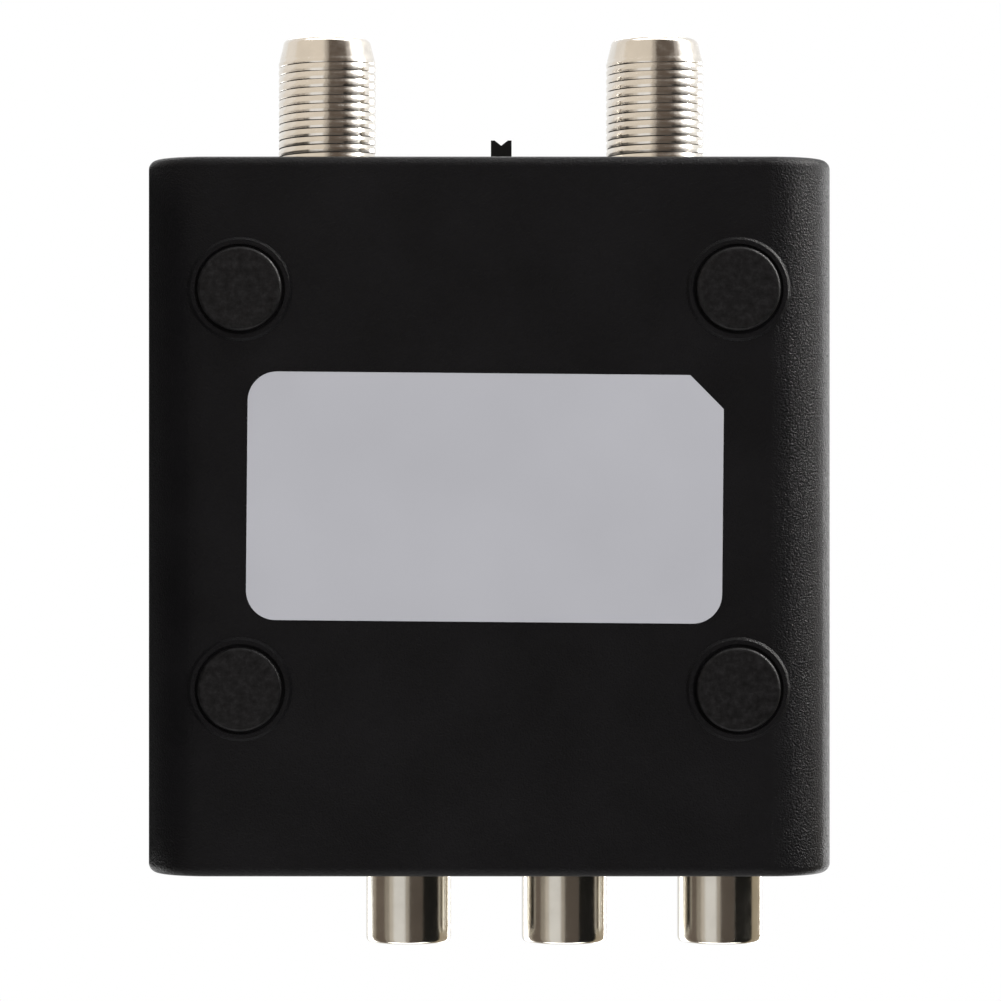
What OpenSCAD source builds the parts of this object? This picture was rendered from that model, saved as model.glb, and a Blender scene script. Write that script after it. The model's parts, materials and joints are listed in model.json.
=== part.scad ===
// Radio-frequency modulator: a small black box that puts a picture and sound on a television channel.
// It stands on four rubber feet, with Z up. The origin is on the floor, under the middle of the
// overall box. The phono sockets and the power socket face -Y, and the two coaxial sockets face +Y.

/* [Case] */
// Width of the case, along the row of sockets
case_w = 65.6; // [64:0.1:72]
// Length of the case, from the phono side to the coaxial side
case_l = 68.5; // [66:0.1:76]
// Height of the case without its feet
case_h = 22; // [21:0.1:26]
// Radius of the four long edges
side_r = 6; // [4.5:0.1:7]
// Radius of the edges round each end face
end_r = 0.9; // [0.5:0.1:1.5]
// Thickness of the case walls
wall = 1.8; // [1.4:0.1:2.2]
// Height of the socket axes and of the parting line above the base
socket_h = 11.5; // [11:0.1:13]

/* [Feet] */
// Diameter of a rubber foot
foot_d = 8; // [7:0.1:9]
// Thickness of a rubber foot
foot_t = 1.4; // [1:0.1:2]
// Depth of the pocket that a foot is stuck in
foot_pocket = 0.4; // [0.2:0.1:0.6]
// Distance between the feet, across the case
foot_span_x = 47.3; // [46:0.1:49]
// Distance between the feet, along the case
foot_span_y = 38; // [36:0.1:40]
// How far the feet lie from the middle of the case, towards the coaxial side
foot_shift = 2.6; // [0:0.1:3]
// Width of the raised ring round a foot
foot_ring_w = 0.65; // [0.5:0.05:1]
// Height of the raised ring above the base
foot_ring_h = 0.3; // [0.2:0.1:0.5]
// Bevel round the outside of the ring
foot_ring_bevel = 0.25; // [0.1:0.05:0.4]

/* [Label] */
// Width of the blank label, across the case
label_w = 45.2; // [36:0.1:46]
// Length of the label, along the case
label_l = 23.6; // [18:0.1:26]
// Thickness of the label
label_t = 0.12; // [0.08:0.01:0.2]
// Radius of its three round corners
label_r = 2.8; // [1:0.1:5]
// Size of its one cut corner
label_cut = 3.2; // [1:0.1:5]
// How far the label lies off the middle of the case, sideways
label_shift_x = 0.4; // [-1:0.1:1]
// How far the label lies off the middle of the case, lengthwise
label_shift_y = 1.8; // [1:0.1:3]
// How far the label was stuck on askew, in degrees
label_turn = 0.5; // [-1:0.1:1]

/* [Circuit board] */
// Thickness of the circuit board
board_t = 1.6; // [1.2:0.1:1.8]
// Height of the socket axes above the top of the board
socket_rise = 6; // [5.8:0.1:6.4]
// Gap between the board and the case walls
board_gap = 0.5; // [0.3:0.1:1]

/* [Coaxial sockets] */
// Diameter over the thread
coax_d = 9.5; // [9.3:0.05:9.6]
// How far a socket stands out of the case
coax_reach = 12.3; // [10:0.1:14]
// Distance between the two socket axes
coax_span = 32; // [30:0.1:34]
// How far the pair, with the switch between them, lies off the middle of the case
rear_shift = -0.15; // [-1:0.05:1]
// Length of the bare tapered nose
coax_nose_l = 2.5; // [1.5:0.1:3]
// Diameter at the small end of the taper
coax_nose_d = 8.6; // [8.2:0.1:9]
// Radius that rounds the tip
coax_tip_r = 0.7; // [0.3:0.1:0.8]
// Diameter of the bore that holds the insulator
coax_bore_d = 6.2; // [5.4:0.1:6.4]
// Width of the square block on the board
coax_block_w = 11.4; // [10.6:0.1:11.8]
// Depth of the square block
coax_block_l = 7.4; // [6:0.1:7.6]

/* [Phono sockets] */
// Diameter of a metal sleeve
phono_d = 8.3; // [8:0.05:8.6]
// How far a sleeve stands out of the case
phono_reach = 7.2; // [6:0.1:10]
// Distance from the side of the case to the last socket of the row, the power socket
row_margin = 9.7; // [9:0.1:11]
// How far the row of sockets lies off the middle of the case
row_shift = 0.3; // [-0.5:0.1:0.5]
// Wall thickness of a sleeve
phono_wall = 0.5; // [0.4:0.05:0.7]
// Bore that takes the pin of a plug
phono_pin_bore = 3.3; // [3.25:0.05:3.4]
// Width of the moulded block behind the sleeve
phono_block_w = 10; // [9.8:0.1:11]
// Depth of the moulded block
phono_block_l = 8.4; // [7:0.1:9]

/* [Power socket] */
// Diameter of the hole that takes the plug barrel
power_bore_d = 6.4; // [6:0.1:6.6]
// Diameter of the centre pin
power_pin_d = 2; // [1.6:0.1:2.4]
// Width of the socket body
power_w = 9; // [8.8:0.1:9.6]
// Depth of the socket body behind the panel
power_l = 11; // [10:0.1:11.4]

/* [Channel switch] */
// Sideways travel of the knob
knob_travel = 2; // [1.5:0.1:2.5]
// Width of the knob, along its travel
knob_w = 2; // [1.6:0.1:2.4]
// Height of the knob
knob_h = 1.8; // [1.4:0.1:2.2]
// How far the knob stands out of the case
knob_reach = 2.05; // [1.5:0.05:3]
// Depth of the thumb notch in the end of the knob
knob_notch = 0.5; // [0.3:0.05:0.8]

/* [Case screws] */
// Outer diameter of a screw shank
screw_d = 2.6; // [2.2:0.1:2.8]
// Length of a screw under its head
screw_l = 11; // [8:0.1:13]
// Diameter of a screw head
screw_head_d = 4.6; // [4:0.1:5]
// Height of a screw head
screw_head_h = 1.5; // [1.2:0.1:1.6]

/* [Hidden] */

// A hole that passes right through runs this far past each face
overrun = 1;
// Pieces of one moulding run this far into each other
merge = 0.4;
// Gap round a piece that is pressed into another
fit_gap = 0.03;
$fn = 48;

// Heights and lengths that everything is placed from
base_z = foot_t - foot_pocket;
top_z = base_z + case_h;
split_z = base_z + socket_h;
socket_z = split_z;
floor_z = base_z + wall;
ceiling_z = top_z - wall;
case_y = (phono_reach - coax_reach) / 2;
front_y = case_y - case_l / 2;
rear_y = case_y + case_l / 2;
front_in_y = front_y + wall;
rear_in_y = rear_y - wall;
side_in_x = case_w / 2 - wall;

// Joint between the case halves
tongue_t = 0.8;
tongue_h = 1.2;
lap_gap = 0.15;
// Gap round a socket in its panel hole, and between a socket and the inside of the panel
panel_gap = 0.25;
seat_gap = 0.3;

// Circuit board: it fills the room at its own height, which the rounded long edges narrow
board_top_z = socket_z - socket_rise;
board_z = board_top_z - board_t;
room_r = side_r - wall;
room_drop = max(0, base_z + side_r - board_z);
room_half_w = case_w / 2 - side_r + sqrt(pow(room_r, 2) - pow(room_drop, 2));
board_w = 2 * (room_half_w - board_gap);
board_l = case_l - 2 * (wall + board_gap);
board_corner = 1.5;
lead_out = 1.2;
lead_gap = 0.15;
lead_end_z = board_z - lead_out;

// Feet and the screws above them
pocket_gap = 0.3;
foot_edge_r = 0.35;
foot_mid_y = case_y + foot_shift;
foot_places = [for (sx = [-1, 1], sy = [-1, 1]) [sx * foot_span_x / 2, foot_mid_y + sy * foot_span_y / 2]];
boss_d = 7.4;
boss_web = 1.3;
screw_seat_z = board_z - boss_web;
head_gap = 0.2;
screw_gap = 0.25;
drive_w = 0.7;
drive_l = 2.6;
drive_depth = 0.7;
post_d = 6;
post_draft = 0.3;
post_clear = 1.6;
screw_tip_z = screw_seat_z + screw_l;
pilot_spare = 1;
rib_t = 1.2;
rib_l = 2.4;
ceiling_rib_h = 1;

// Coaxial socket
coax_places = [rear_shift - coax_span / 2, rear_shift + coax_span / 2];
switch_x = rear_shift;
coax_tip_y = rear_y + coax_reach;
coax_block_y1 = rear_in_y - seat_gap;
coax_block_y0 = coax_block_y1 - coax_block_l;
coax_block_top = coax_block_w / 2;
coax_neck_d = 8.7;
coax_lip = 0.3;
coax_recess = 0.5;
coax_leg_d = 1.3;
coax_leg_in = 1.2;
coax_mid_y = (coax_block_y0 + coax_block_y1) / 2;
coax_legs = [for (sx = [-1, 1], sy = [-1, 1])
    [sx * (coax_block_w / 2 - coax_leg_in), coax_mid_y + sy * (coax_block_l / 2 - coax_leg_in)]];
coax_contact_d = 2.4;
coax_contact_bore = 1.25;
coax_contact_bore_l = 7;
coax_mouth_d = 1.7;
coax_funnel_d = 3.2;
coax_funnel_l = 0.7;
coax_mouth_l = 1.4;
coax_slit_w = 0.3;
coax_slit_l = 3;
coax_tail_t = 0.8;
coax_contact_y1 = coax_tip_y - coax_recess - coax_mouth_l;
coax_tail_y = coax_block_y0 - coax_tail_t / 2;

// Phono socket: the row of four fills the width of the case
phono_pitch = (case_w / 2 - row_margin - row_shift) * 2 / 3;
phono_places = [for (i = [1, -1, -3]) row_shift + i * phono_pitch / 2];
power_x = row_shift + 3 * phono_pitch / 2;
phono_tip_y = front_y - phono_reach;
phono_rim = 0.25;
phono_rim_l = 0.5;
phono_shoulder = 0.2;
phono_neck_d = phono_d + 2 * phono_shoulder;
phono_flange_t = 0.5;
phono_flange_d = 9.8;
phono_flange_y0 = front_in_y + seat_gap;
phono_flange_y1 = phono_flange_y0 + phono_flange_t;
phono_block_y1 = phono_flange_y1 + phono_block_l;
phono_block_top = 5.2;
phono_bore_d = phono_d - 2 * phono_wall;
phono_recess = 0.4;
phono_mouth_gap = 0.2;
phono_mouth_d = phono_pin_bore + 2 * phono_mouth_gap;
phono_mouth_l = 0.9;
phono_contact_t = 0.35;
phono_contact_d = phono_pin_bore + 2 * phono_contact_t;
phono_contact_l = 7;
phono_contact_y0 = phono_tip_y + phono_recess + phono_mouth_l;
phono_slit_w = 0.4;
phono_slit_l = 4;
phono_strap_w = 2.6;
leg_w = 1;
leg_t = 0.5;
leg_hole_d = sqrt(pow(leg_w, 2) + pow(leg_t, 2)) + 2 * lead_gap;
phono_tail_y = phono_block_y1 + leg_t / 2;
phono_strap_y = phono_flange_y0 + phono_flange_t / 2;

// Power socket
power_inset = 0.3;
power_collar_wall = 0.8;
power_collar_d = power_bore_d + 2 * power_collar_wall;
power_top = 4.9;
power_y0 = phono_flange_y0;
power_y1 = power_y0 + power_l;
power_face_y = front_y + power_inset;
power_bore_l = 9.4;
power_pin_inset = 0.8;
power_spring_w = 1.6;
power_spring_t = 0.3;
power_spring_l = 6.5;
power_groove_gap = 0.1;
power_spring_y1 = power_face_y + power_bore_l - power_groove_gap;
power_spring_y = power_spring_y1 - leg_w / 2;
power_tail_y = power_y1 + leg_t / 2;

// Channel switch
frame_w = 8.6;
frame_l = 4.2;
frame_h = 4.4;
frame_t = 0.4;
frame_y1 = rear_in_y - seat_gap;
frame_y0 = frame_y1 - frame_l;
knob_z = board_top_z + frame_h / 2;
knob_tip_y = rear_y + knob_reach;
knob_gap = 0.1;
slot_gap = 0.4;
slot_w = knob_w + knob_travel + 2 * slot_gap;
slot_h = knob_h + 2 * slot_gap;
slider_w = frame_w - 2 * frame_t - knob_travel - 2 * knob_gap;
slider_h = frame_h - 2 * frame_t - 2 * knob_gap;
switch_base_t = 0.8;
wiper_room = 0.6;
wiper_t = 0.25;
wiper_h = 1;
pad_proud = 0.1;
slider_y0 = frame_y0 + switch_base_t + wiper_room;
slider_y1 = frame_y1 - frame_t - knob_gap;
knob_rest_x = switch_x - knob_travel / 2;
notch_share = 0.64;
terminal_d = 0.6;
terminal_pitch = 2;
terminal_out = 0.5;
terminal_y = frame_y0 - terminal_out;
frame_leg_y = frame_y0 + frame_l / 2;
frame_leg_x = frame_w / 2 - frame_t / 2;
frame_leg_hole = sqrt(pow(leg_w, 2) + pow(frame_t, 2)) + 2 * lead_gap;

// Screening can over the modulator stage
can_w = 28;
can_l = 20;
can_h = 7.4;
can_t = 0.4;
can_gap = 0.1;
can_skirt = 2.2;
can_hole_d = 3;
can_rear_gap = 1.6;
can_y = coax_block_y0 - coax_tail_t - can_rear_gap - can_l / 2;
can_leg_x = can_w / 4;
can_leg_hole = sqrt(pow(leg_w, 2) + pow(can_t, 2)) + 2 * lead_gap;

// Antenna splitter: a two-hole ferrite bead and its wire
bead_w = 7;
bead_l = 5;
bead_h = 4;
bead_hole_d = 1.7;
bead_pitch = 3.3;
wire_d = 0.6;
wire_bow = 1;
bead_x = (can_w / 2 + side_in_x) / 2;
bead_y = foot_mid_y + foot_span_y / 2 - post_d / 2 - post_draft - post_clear - bead_l / 2;

// Integrated circuits, each standing on gull-wing leads
chip_w = 7.5;
chip_l = 12.8;
chip_h = 2.3;
chip_pitch = 1.27;
chip_stand = 0.15;
lead_w = 0.45;
lead_t = 0.25;
lead_reach = 1.3;
lead_foot = 0.7;
audio_w = 3.9;
audio_l = 4.9;
audio_h = 1.5;
chip_x = -can_w / 4;
audio_x = phono_places[1];
audio_y = (phono_block_y1 + can_y - can_l / 2) / 2;
reg_w = 6.5;
reg_l = 3.5;
reg_h = 1.6;
reg_pitch = 2.3;
reg_tab_w = 3;
reg_x = power_x;
reg_y = bead_y - bead_l - reg_w / 2;

// Crystal
crystal_l = 11.3;
crystal_w = 4.6;
crystal_h = 3.5;
crystal_flange = 0.3;
crystal_flange_t = 0.4;
crystal_pitch = 4.9;
crystal_x = can_w / 4;
crystal_y = can_y + can_l / 4;
crystal_lead_d = 0.45;

// Electrolytic capacitors: [across, along, diameter, height]
can_d = 6.3;
small_can_d = 5;
tall_can_h = 7.7;
low_can_h = 5.5;
can_groove = 0.25;
can_groove_z = 1.2;
can_vent_w = 0.3;
can_vent_depth = 0.25;
cap_lead_d = 0.5;
cap_pitch = 2.5;
post_side_x = foot_span_x / 2 - post_d / 2 - post_draft - post_clear;
capacitor_places = [
    [post_side_x - can_d / 2, power_y1 + can_d, can_d, tall_can_h],
    [power_x, power_y1 + 5 * can_d / 2, can_d, tall_can_h],
    [phono_places[0], phono_block_y1 + can_d, small_can_d, low_can_h],
    [phono_places[1], phono_block_y1 + can_d, small_can_d, low_can_h],
    [-post_side_x + small_can_d / 2, phono_block_y1 + can_d, small_can_d, low_can_h]
];

// Chip resistors and capacitors
small_l = 2;
small_w = 1.25;
small_h = 0.6;
small_step = 3;

// Tuning coils inside the can
coil_d = 5;
coil_h = 6.2;
coil_slug_d = 2.2;
coil_slug_in = 0.8;
coil_pitch = 6.5;
coil_places = [for (s = [-1, 1]) [crystal_x + s * coil_pitch / 2, can_y - can_l / 4]];

// A rod along Y, from y0 to y1
module y_rod(x, y0, y1, d, z = socket_z) {
    translate([x, y1, z])
        rotate([90, 0, 0])
            cylinder(d = d, h = y1 - y0);
}

// A cone along Y, with diameter d0 at y0 and d1 at y1
module y_cone(x, y0, y1, d0, d1, z = socket_z) {
    translate([x, y1, z])
        rotate([90, 0, 0])
            cylinder(d1 = d1, d2 = d0, h = y1 - y0);
}

// A box given by the middle of its base
module block(x, y, z, size) {
    translate([x - size[0] / 2, y - size[1] / 2, z])
        cube(size);
}

// A round lead from a piece down through the board
module lead(x, y, d, top_end) {
    translate([x, y, lead_end_z])
        cylinder(d = d, h = top_end - lead_end_z);
}

// A flat leg from a piece down through the board
module leg(x, y, w, t, top_end) {
    block(x, y, lead_end_z, [w, t, top_end - lead_end_z]);
}

// Outline of a slab of the case, with its four corners rounded like the end faces
module slab_outline(w, l) {
    straight_w = w - 2 * end_r;
    straight_l = l - 2 * end_r;
    square([straight_w, l], center = true);
    square([w, straight_l], center = true);
    for (sx = [-1, 1], sy = [-1, 1])
        translate([sx * straight_w / 2, sy * straight_l / 2]) circle(end_r);
}

// One long edge of the case, lying along Y: a round of side_r whose two ends are rounded by end_r
module long_edge() {
    rotate([90, 0, 0])
        rotate_extrude()
            intersection() {
                slab_outline(2 * side_r, case_l);
                translate([0, -case_l / 2]) square([side_r, case_l]);
            }
}

// The closed case, solid: two long edges below, two above, and slabs that join them
module case_form() {
    edge_x = case_w / 2 - side_r;
    translate([0, case_y, base_z + case_h / 2]) {
        for (sx = [-1, 1], sz = [-1, 1])
            translate([sx * edge_x, 0, sz * (case_h / 2 - side_r)]) long_edge();
        rotate([0, 90, 0])
            linear_extrude(2 * edge_x, center = true) slab_outline(case_h, case_l);
        linear_extrude(case_h - 2 * side_r, center = true) slab_outline(case_w, case_l);
    }
}

// The lower or upper half of the solid case
module half_form(z0, z1) {
    intersection() {
        case_form();
        block(0, case_y, z0, [case_w + 2 * overrun, case_l + 2 * overrun, z1 - z0]);
    }
}

// The room inside the closed case
module room() {
    w = case_w - 2 * wall;
    h = case_h - 2 * wall;
    translate([0, rear_in_y, floor_z + h / 2])
        rotate([90, 0, 0])
            linear_extrude(case_l - 2 * wall) {
                square([w, h - 2 * room_r], center = true);
                square([w - 2 * room_r, h], center = true);
                for (sx = [-1, 1], sy = [-1, 1])
                    translate([sx * (w / 2 - room_r), sy * (h / 2 - room_r)]) circle(room_r);
            }
}

// Round holes in both end walls, centred on the parting line
module panel_holes() {
    for (x = coax_places)
        y_rod(x, rear_in_y - overrun, rear_y + overrun, coax_d + 2 * panel_gap);
    for (x = phono_places)
        y_rod(x, front_y - overrun, front_in_y + overrun, phono_neck_d + 2 * panel_gap);
    y_rod(power_x, front_y - overrun, front_in_y + overrun, power_collar_d + 2 * panel_gap);
}

// Walls that the board rests on, between the sockets
module board_rests() {
    size = [rib_t, rib_l + merge, board_z - floor_z + merge];
    for (i = [-1, 0, 1])
        block(row_shift + i * phono_pitch, front_in_y + (rib_l - merge) / 2, floor_z - merge, size);
    for (s = [-1, 1])
        block(s * (frame_w / 2 + rib_l), rear_in_y - (rib_l - merge) / 2, floor_z - merge, size);
}

module foot_pocket_cut(p) {
    translate([p[0], p[1], base_z - foot_ring_h - overrun])
        cylinder(d = foot_d + 2 * pocket_gap, h = foot_ring_h + overrun + foot_pocket);
    translate([p[0], p[1], base_z])
        cylinder(d = screw_head_d + 2 * head_gap, h = screw_seat_z - base_z);
    translate([p[0], p[1], base_z])
        cylinder(d = screw_d + 2 * screw_gap, h = board_z + overrun - base_z);
}

module bottom_shell() {
    ring_d = foot_d + 2 * pocket_gap + 2 * foot_ring_w;
    color("#1c1c1f")
        difference() {
            union() {
                difference() {
                    half_form(base_z - overrun, split_z);
                    room();
                }
                for (p = foot_places) {
                    translate([p[0], p[1], floor_z - merge])
                        cylinder(d = boss_d, h = board_z - floor_z + merge);
                    translate([p[0], p[1], base_z - foot_ring_h]) {
                        cylinder(d1 = ring_d - 2 * foot_ring_bevel, d2 = ring_d, h = foot_ring_bevel);
                        translate([0, 0, foot_ring_bevel])
                            cylinder(d = ring_d, h = foot_ring_h - foot_ring_bevel + wall / 2);
                    }
                }
                board_rests();
            }
            for (p = foot_places)
                foot_pocket_cut(p);
            panel_holes();
            // Notch for the switch knob, open at the parting line
            block(switch_x, rear_y - wall / 2, knob_z - slot_h / 2,
                [slot_w, wall + 2 * overrun, split_z - knob_z + slot_h / 2 + overrun]);
            // Rebates that take the tongues of the top shell
            for (s = [-1, 1])
                block(s * (side_in_x + (tongue_t + lap_gap - overrun) / 2), case_y,
                    split_z - tongue_h - lap_gap,
                    [tongue_t + lap_gap + overrun, case_l - 2 * wall, tongue_h + lap_gap + overrun]);
        }
}

module top_shell() {
    post_top = ceiling_z + merge;
    tab_z = knob_z + slot_h / 2;
    color("#1c1c1f")
        difference() {
            union() {
                difference() {
                    half_form(split_z, top_z + overrun);
                    room();
                }
                for (p = foot_places)
                    translate([p[0], p[1], board_top_z])
                        cylinder(d1 = post_d, d2 = post_d + 2 * post_draft, h = post_top - board_top_z);
                // Tongues along the two sides
                for (s = [-1, 1])
                    block(s * (side_in_x + tongue_t / 2), case_y, split_z - tongue_h,
                        [tongue_t, case_l - 2 * (wall + lap_gap), tongue_h + merge]);
                // Tab that closes the notch above the switch knob
                block(switch_x, rear_y - wall / 2, tab_z,
                    [slot_w - 2 * lap_gap, wall, split_z - tab_z + merge]);
                // Stiffening ribs under the ceiling
                for (s = [-1, 1])
                    block(0, case_y + s * foot_span_y / 4, ceiling_z - ceiling_rib_h,
                        [foot_span_x, rib_t, ceiling_rib_h + merge]);
            }
            for (p = foot_places)
                translate([p[0], p[1], board_top_z - overrun])
                    cylinder(d = screw_d + 2 * fit_gap,
                        h = overrun + screw_tip_z + pilot_spare - board_top_z);
            panel_holes();
        }
}

module label() {
    color("#b9bac2")
        translate([label_shift_x, case_y + label_shift_y, base_z - label_t])
            rotate([0, 0, label_turn])
                linear_extrude(label_t)
                    difference() {
                        union() {
                            square([label_w, label_l - 2 * label_r], center = true);
                            square([label_w - 2 * label_r, label_l], center = true);
                            for (sx = [-1, 1], sy = [-1, 1])
                                translate([sx * (label_w / 2 - label_r), sy * (label_l / 2 - label_r)])
                                    circle(label_r);
                            translate([-label_w / 2, label_l / 2 - 2 * label_r]) square(2 * label_r);
                        }
                        polygon([
                            [-label_w / 2 - overrun, label_l / 2 - label_cut - overrun],
                            [-label_w / 2 + label_cut + overrun, label_l / 2 + overrun],
                            [-label_w / 2 - overrun, label_l / 2 + overrun]
                        ]);
                    }
}

// A rubber disc with a rounded lower edge
module foot(p) {
    color("#232326")
        translate([p[0], p[1], 0])
            rotate_extrude() {
                translate([0, foot_edge_r]) square([foot_d / 2, foot_t - foot_edge_r]);
                square([foot_d / 2 - foot_edge_r, foot_t]);
                translate([foot_d / 2 - foot_edge_r, foot_edge_r]) circle(foot_edge_r);
            }
}

// Four pan-head screws, driven up from under the feet
module case_screws() {
    color("#9a9a98")
        for (p = foot_places)
            translate([p[0], p[1], screw_seat_z])
                difference() {
                    union() {
                        cylinder(d = screw_d, h = screw_l);
                        translate([0, 0, -screw_head_h]) cylinder(d = screw_head_d, h = screw_head_h);
                    }
                    for (a = [0, 90])
                        rotate([0, 0, a])
                            block(0, 0, -screw_head_h - overrun, [drive_l, drive_w, drive_depth + overrun]);
                }
}

// Holes for every lead and leg that passes through the board
module board_holes() {
    h = board_t + 2 * overrun;
    module hole(x, y, d) {
        translate([x, y, board_z - overrun]) cylinder(d = d, h = h);
    }
    for (p = foot_places)
        hole(p[0], p[1], screw_d + 2 * screw_gap);
    for (x = coax_places) {
        for (leg = coax_legs)
            hole(x + leg[0], leg[1], coax_leg_d + 2 * lead_gap);
        hole(x, coax_tail_y, coax_tail_t + 2 * lead_gap);
    }
    for (x = phono_places, y = [phono_strap_y, phono_tail_y])
        hole(x, y, leg_hole_d);
    for (y = [power_spring_y, power_tail_y])
        hole(power_x, y, leg_hole_d);
    for (s = [-1, 1])
        hole(switch_x + s * frame_leg_x, frame_leg_y, frame_leg_hole);
    for (i = [-1, 0, 1])
        hole(switch_x + i * terminal_pitch, terminal_y, terminal_d + 2 * lead_gap);
    for (c = capacitor_places, s = [-1, 1])
        hole(c[0] + s * cap_pitch / 2, c[1], cap_lead_d + 2 * lead_gap);
    for (s = [-1, 1]) {
        hole(crystal_x + s * crystal_pitch / 2, crystal_y, crystal_lead_d + 2 * lead_gap);
        hole(bead_x + s * bead_pitch / 2, bead_y - bead_l / 2 - wire_bow, wire_d + 2 * lead_gap);
        for (x = [-can_leg_x, can_leg_x])
            hole(x, can_y + s * (can_l - can_t) / 2, can_leg_hole);
    }
}

module main_board() {
    color("#1d6b3a")
        difference() {
            translate([0, case_y, board_z])
                linear_extrude(board_t)
                    difference() {
                        square([board_w, board_l], center = true);
                        for (sx = [-1, 1], sy = [-1, 1])
                            translate([sx * board_w / 2, sy * board_l / 2])
                                rotate(45)
                                    square(board_corner * sqrt(2), center = true);
                    }
            board_holes();
        }
}

// Tapered nose of a coaxial barrel, with a rounded tip
module coax_nose(x) {
    round_x = coax_nose_d / 2 - coax_tip_r;
    translate([x, coax_tip_y - coax_nose_l, socket_z])
        rotate([-90, 0, 0])
            rotate_extrude() {
                polygon([
                    [0, 0], [coax_d / 2, 0], [coax_nose_d / 2, coax_nose_l - coax_tip_r],
                    [round_x, coax_nose_l - coax_tip_r], [round_x, coax_nose_l], [0, coax_nose_l]
                ]);
                translate([round_x, coax_nose_l - coax_tip_r]) circle(coax_tip_r);
            }
}

// Coaxial socket: a turned barrel on a square block, with a plain neck in the panel and four legs
module coax_barrel(x) {
    color("#c9c3b8")
        difference() {
            union() {
                y_rod(x, coax_block_y1 - merge, rear_y + merge, coax_neck_d);
                y_rod(x, rear_y, coax_tip_y - coax_nose_l, coax_d);
                coax_nose(x);
                block(x, coax_mid_y, board_top_z, [coax_block_w, coax_block_l, socket_rise + coax_block_top]);
                for (leg = coax_legs)
                    lead(x + leg[0], leg[1], coax_leg_d, board_top_z + merge);
            }
            y_rod(x, coax_block_y0 - overrun, coax_tip_y + overrun, coax_bore_d);
            y_cone(x, coax_tip_y - coax_lip, coax_tip_y + coax_lip, coax_bore_d, coax_bore_d + 4 * coax_lip);
        }
}

module coax_insulator(x) {
    face_y = coax_tip_y - coax_recess;
    color("#efece2")
        difference() {
            y_rod(x, coax_block_y0, face_y, coax_bore_d - 2 * fit_gap);
            y_rod(x, coax_block_y0 - overrun, coax_contact_y1, coax_contact_d + 2 * fit_gap);
            y_rod(x, coax_contact_y1 - overrun, face_y + overrun, coax_mouth_d);
            y_cone(x, face_y - coax_funnel_l, face_y, coax_mouth_d, coax_funnel_d);
        }
}

// Centre contact: a slit tube, with a tail down to the board behind the block
module coax_contact(x) {
    color("#d9b45a")
        difference() {
            union() {
                y_rod(x, coax_block_y0 - coax_tail_t, coax_contact_y1, coax_contact_d);
                lead(x, coax_tail_y, coax_tail_t, socket_z);
            }
            y_rod(x, coax_contact_y1 - coax_contact_bore_l, coax_contact_y1 + overrun, coax_contact_bore);
            block(x, coax_contact_y1 - coax_slit_l / 2 + overrun / 2, socket_z - coax_slit_w / 2,
                [coax_contact_d + overrun, coax_slit_l + overrun, coax_slit_w]);
        }
}

// Phono socket: a thin metal sleeve with a shoulder in the panel, a flange and one earth leg
module phono_sleeve(x) {
    color("#cfcac2")
        difference() {
            union() {
                y_cone(x, phono_tip_y, phono_tip_y + phono_rim_l, phono_d - 2 * phono_rim, phono_d);
                y_rod(x, phono_tip_y + phono_rim_l, front_y + merge, phono_d);
                y_rod(x, front_y, phono_flange_y1, phono_neck_d);
                y_rod(x, phono_flange_y0, phono_flange_y1, phono_flange_d);
                block(x, phono_strap_y, board_top_z,
                    [phono_strap_w, phono_flange_t, socket_rise - phono_bore_d / 2]);
                leg(x, phono_strap_y, leg_w, leg_t, board_top_z + merge);
            }
            y_rod(x, phono_tip_y - overrun, phono_flange_y1 + overrun, phono_bore_d);
        }
}

module phono_moulding(x, tint) {
    face_y = phono_tip_y + phono_recess;
    color(tint)
        difference() {
            union() {
                y_rod(x, face_y, phono_flange_y1 + merge, phono_bore_d - 2 * fit_gap);
                block(x, phono_flange_y1 + phono_block_l / 2, board_top_z,
                    [phono_block_w, phono_block_l, socket_rise + phono_block_top]);
            }
            y_rod(x, face_y - overrun, phono_contact_y0 + overrun, phono_mouth_d);
            y_rod(x, phono_contact_y0, phono_block_y1 + overrun, phono_contact_d + 2 * fit_gap);
        }
}

// Centre contact: a slit tube and a stem, with a flat tail behind the block
module phono_contact(x) {
    color("#c9bfa8")
        difference() {
            union() {
                y_rod(x, phono_contact_y0, phono_block_y1 + leg_t, phono_contact_d);
                leg(x, phono_tail_y, leg_w, leg_t, socket_z);
            }
            y_rod(x, phono_contact_y0 - overrun, phono_contact_y0 + phono_contact_l, phono_pin_bore);
            block(x, phono_contact_y0 + (phono_slit_l - overrun) / 2, socket_z - phono_slit_w / 2,
                [phono_contact_d + overrun, phono_slit_l + overrun, phono_slit_w]);
        }
}

module power_socket_body() {
    slack = 2 * power_groove_gap;
    groove_z = socket_z - power_bore_d / 2 - power_spring_t - power_groove_gap;
    color("#17171a")
        difference() {
            union() {
                y_rod(power_x, power_face_y, power_y0 + merge, power_collar_d);
                block(power_x, (power_y0 + power_y1) / 2, board_top_z,
                    [power_w, power_l, socket_rise + power_top]);
            }
            y_rod(power_x, power_face_y - overrun, power_face_y + power_bore_l, power_bore_d);
            y_rod(power_x, power_face_y, power_y1 + overrun, power_pin_d + 2 * fit_gap);
            // Groove for the barrel spring, and the way down for its leg
            block(power_x, power_spring_y1 - power_spring_l / 2, groove_z,
                [power_spring_w + slack, power_spring_l + slack, socket_z - groove_z]);
            block(power_x, power_spring_y, board_top_z - overrun,
                [leg_t + slack, leg_w + slack, groove_z - board_top_z + overrun + merge]);
        }
}

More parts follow.
